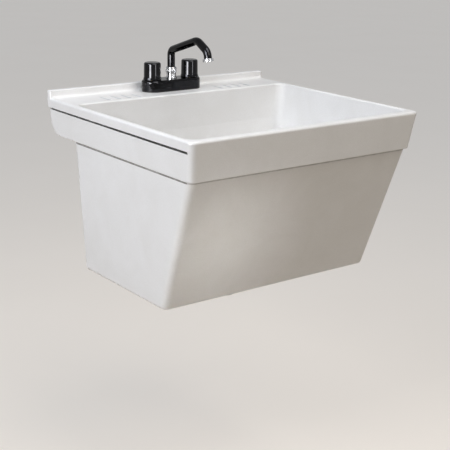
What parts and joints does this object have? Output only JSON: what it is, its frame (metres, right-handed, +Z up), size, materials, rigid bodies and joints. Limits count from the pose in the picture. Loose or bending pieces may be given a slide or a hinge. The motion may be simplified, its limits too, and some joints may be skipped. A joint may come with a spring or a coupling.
{
  "type": "utility laundry sink",
  "caption": "Deep wall-hung laundry tub with a sloping front, raised back ledge, soap grooves, a two-handle centreset faucet with a swivel spout, and a drain with a lift-out stopper.",
  "frame": {"origin": "middle of the sink's width on the wall plane, at the height of the faucet deck and bowl rim", "axes": "+X to the right seen from the front, +Y into the wall, +Z up"},
  "size_m": [0.583, 0.5401, 0.5558],
  "materials": {
    "basin_white": "satin moulded resin, slightly mottled",
    "hanger_steel": "galvanised",
    "drain_steel": "polished stainless",
    "drain_plastic": "moulded white",
    "rubber_black": "matte",
    "fibre_washer": "pressed fibre",
    "valve_brass": "cast and turned",
    "waterway_copper": "drawn tube",
    "faucet_black": "black mirror finish",
    "faucet_chrome": "polished",
    "cartridge_plastic": "moulded grey"
  },
  "bodies": {
    "root": {"tub": "basin_white", "wall_hanger": "hanger_steel", "strainer_body": "drain_steel", "strainer_grid": "drain_steel", "flange_seal": "rubber_black", "drain_gasket": "rubber_black", "friction_washer": "fibre_washer", "drain_locknut": "drain_plastic", "tailpiece": "drain_plastic", "tailpiece_washer": "rubber_black", "tailpiece_nut": "drain_plastic", "base_cover": "faucet_black", "base_seal": "rubber_black", "waterway_tee": "waterway_copper", "spout_hub": "faucet_chrome", "swivel_seal": "rubber_black", "spout_nut": "faucet_chrome", "hot_valve_body": "valve_brass", "hot_cartridge": "cartridge_plastic", "hot_bonnet_nut": "valve_brass", "hot_shank_washer": "drain_plastic", "hot_shank_locknut": "valve_brass", "cold_valve_body": "valve_brass", "cold_cartridge": "cartridge_plastic", "cold_bonnet_nut": "valve_brass", "cold_shank_washer": "drain_plastic", "cold_shank_locknut": "valve_brass"},
    "hot_handle": {"hot_handle": "faucet_black", "hot_stem": "valve_brass", "hot_handle_screw": "drain_steel", "hot_index_cap": "faucet_black"},
    "cold_handle": {"cold_handle": "faucet_black", "cold_stem": "valve_brass", "cold_handle_screw": "drain_steel", "cold_index_cap": "faucet_black"},
    "spout": {"spout_tube": "faucet_black", "spout_nozzle": "faucet_chrome", "outlet_washer": "rubber_black", "outlet_screen": "drain_steel"},
    "stopper": {"stopper": "rubber_black", "pull_ring": "drain_steel"}
  },
  "joints": [
    {"name": "hot_handle_turn", "type": "hinge", "parent": "root", "child": "hot_handle", "pos_m": [-0.0508, -0.0445, 0.045], "axis": [0, 0, 1], "range_deg": [0, 90]},
    {"name": "cold_handle_turn", "type": "hinge", "parent": "root", "child": "cold_handle", "pos_m": [0.0508, -0.0445, 0.045], "axis": [0, 0, 1], "range_deg": [-90, 0]},
    {"name": "spout_swivel", "type": "hinge", "parent": "root", "child": "spout", "pos_m": [0, -0.0445, 0.06], "axis": [0, 0, 1], "range_deg": [-100, 100]},
    {"name": "stopper_lift", "type": "slide", "parent": "root", "child": "stopper", "axis": [0, 0, 1], "range_m": [0, 0.06]}
  ]
}
